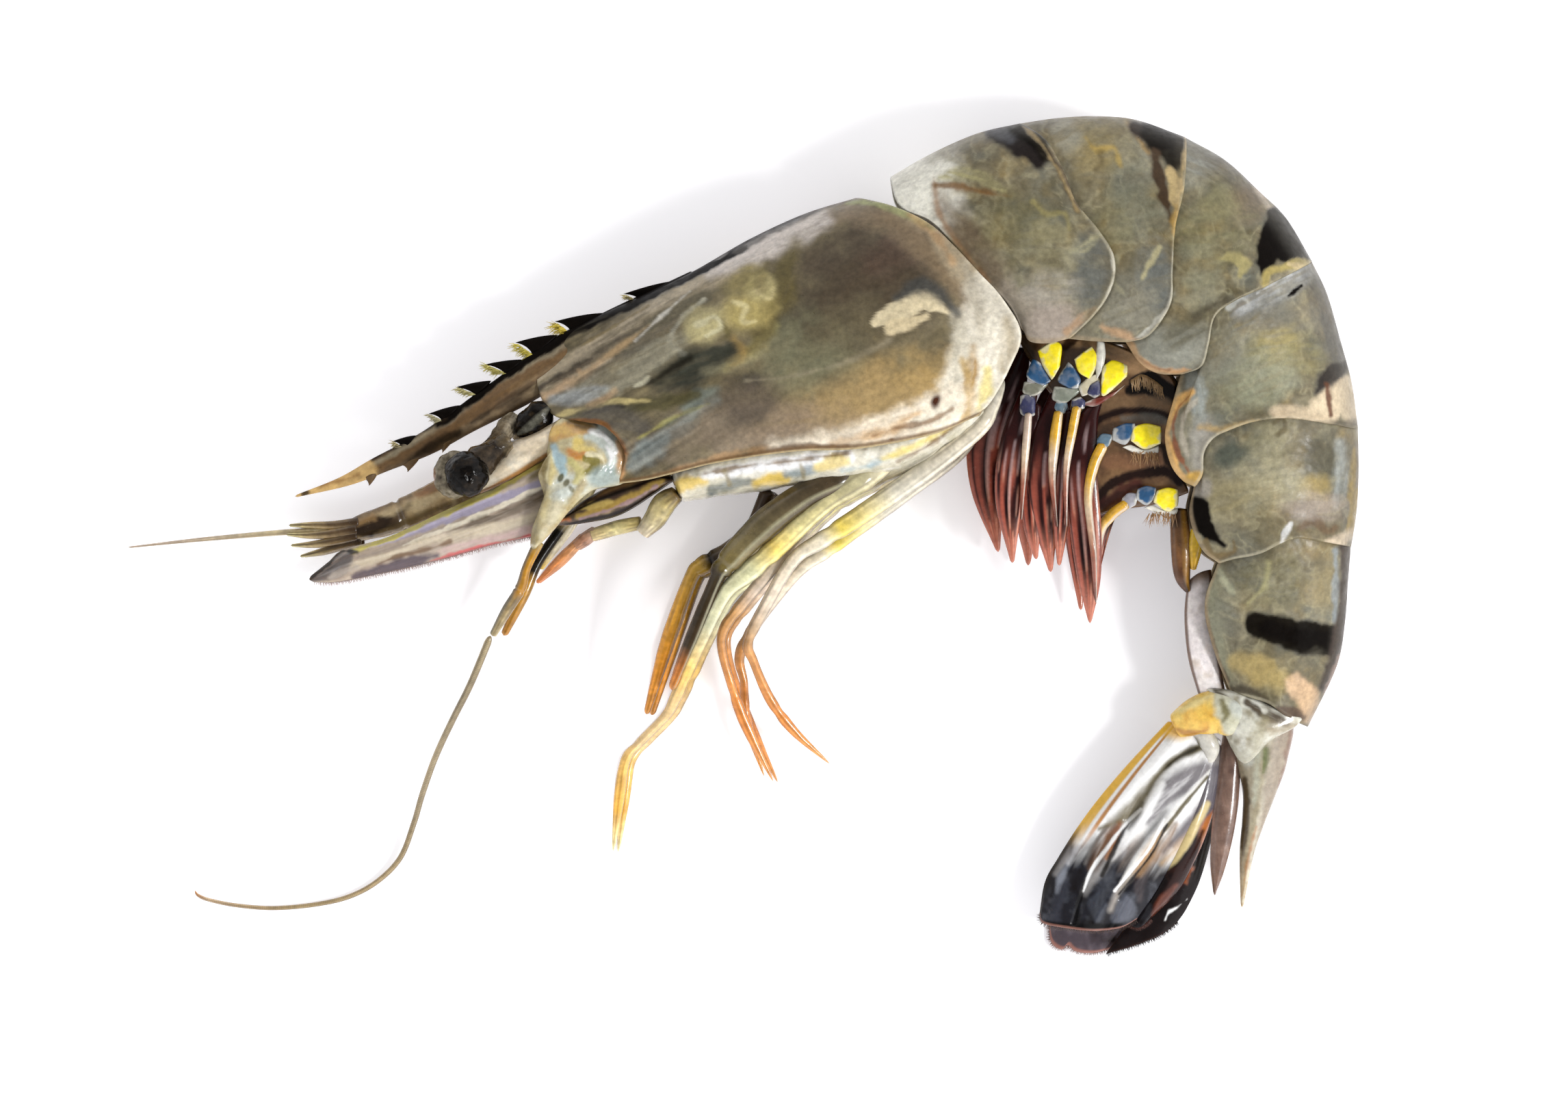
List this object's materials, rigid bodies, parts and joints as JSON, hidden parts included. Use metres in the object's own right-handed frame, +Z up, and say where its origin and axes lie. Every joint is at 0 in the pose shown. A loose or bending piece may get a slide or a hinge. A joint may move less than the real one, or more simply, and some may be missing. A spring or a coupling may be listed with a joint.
{
  "type": "raw tiger prawn",
  "caption": "Whole raw tiger prawn lying on its right side, with its banded tail curled and its fan, legs, feelers and toothed head spike in place.",
  "frame": {"origin": "on the table, under the middle of the whole prawn's box", "axes": "+X towards the rings of the tail, away from the head spike's tip; +Y towards the arched back; +Z up, through the left side"},
  "size_m": [0.1352, 0.092, 0.0215],
  "materials": {
    "shell": "wet, slightly translucent grey-olive shell with dark bands and orange rims",
    "telson": "wet pale olive shell",
    "tail_joint": "wet yellow-orange shell",
    "tail_blade": "very glossy, olive-grey turning blue-black, orange along the edge",
    "eye": "glossy brown-black with a grey rim",
    "scale": "wet purple-grey and cream, with a yellow-green stripe and a pink edge",
    "feeler": "wet cream and olive with brown marks",
    "whip": "satin olive-brown turning orange",
    "mouthpart": "wet dark maroon",
    "chest": "wet white, pale blue and yellow",
    "leg": "wet olive, cream, gold and orange",
    "swimmeret": "wet dark maroon blades with yellow and blue patches at their bases"
  },
  "bodies": {
    "root": {"carapace": "shell", "abdomen_1": "shell", "abdomen_2": "shell", "abdomen_3": "shell", "abdomen_4": "shell", "abdomen_5": "shell", "abdomen_6": "shell", "telson": "telson", "uropod_protopod_left": "tail_joint", "uropod_protopod_right": "tail_joint", "uropod_exopod_left": "tail_blade", "uropod_exopod_right": "tail_blade", "uropod_endopod_left": "tail_blade", "uropod_endopod_right": "tail_blade", "eye_left": "eye", "eye_right": "eye", "antennal_scale_left": "scale", "antennal_scale_right": "scale", "antennule_left": "feeler", "antennule_right": "feeler", "antenna_left": "feeler", "antenna_right": "feeler", "antenna_flagellum_left": "whip", "maxilliped_2_left": "mouthpart", "maxilliped_2_right": "mouthpart", "maxilliped_3_left": "leg", "maxilliped_3_right": "leg", "chest": "chest", "leg_1_left": "leg", "leg_1_right": "leg", "leg_2_left": "leg", "leg_2_right": "leg", "leg_3_left": "leg", "leg_3_right": "leg", "leg_4_left": "leg", "leg_4_right": "leg", "leg_5_left": "leg", "leg_5_right": "leg", "swimmeret_1_left": "swimmeret", "swimmeret_1_right": "swimmeret", "swimmeret_2_left": "swimmeret", "swimmeret_2_right": "swimmeret", "swimmeret_3_left": "swimmeret", "swimmeret_3_right": "swimmeret", "swimmeret_4_left": "swimmeret", "swimmeret_4_right": "swimmeret", "swimmeret_5_left": "swimmeret", "swimmeret_5_right": "swimmeret"}
  },
  "joints": []
}
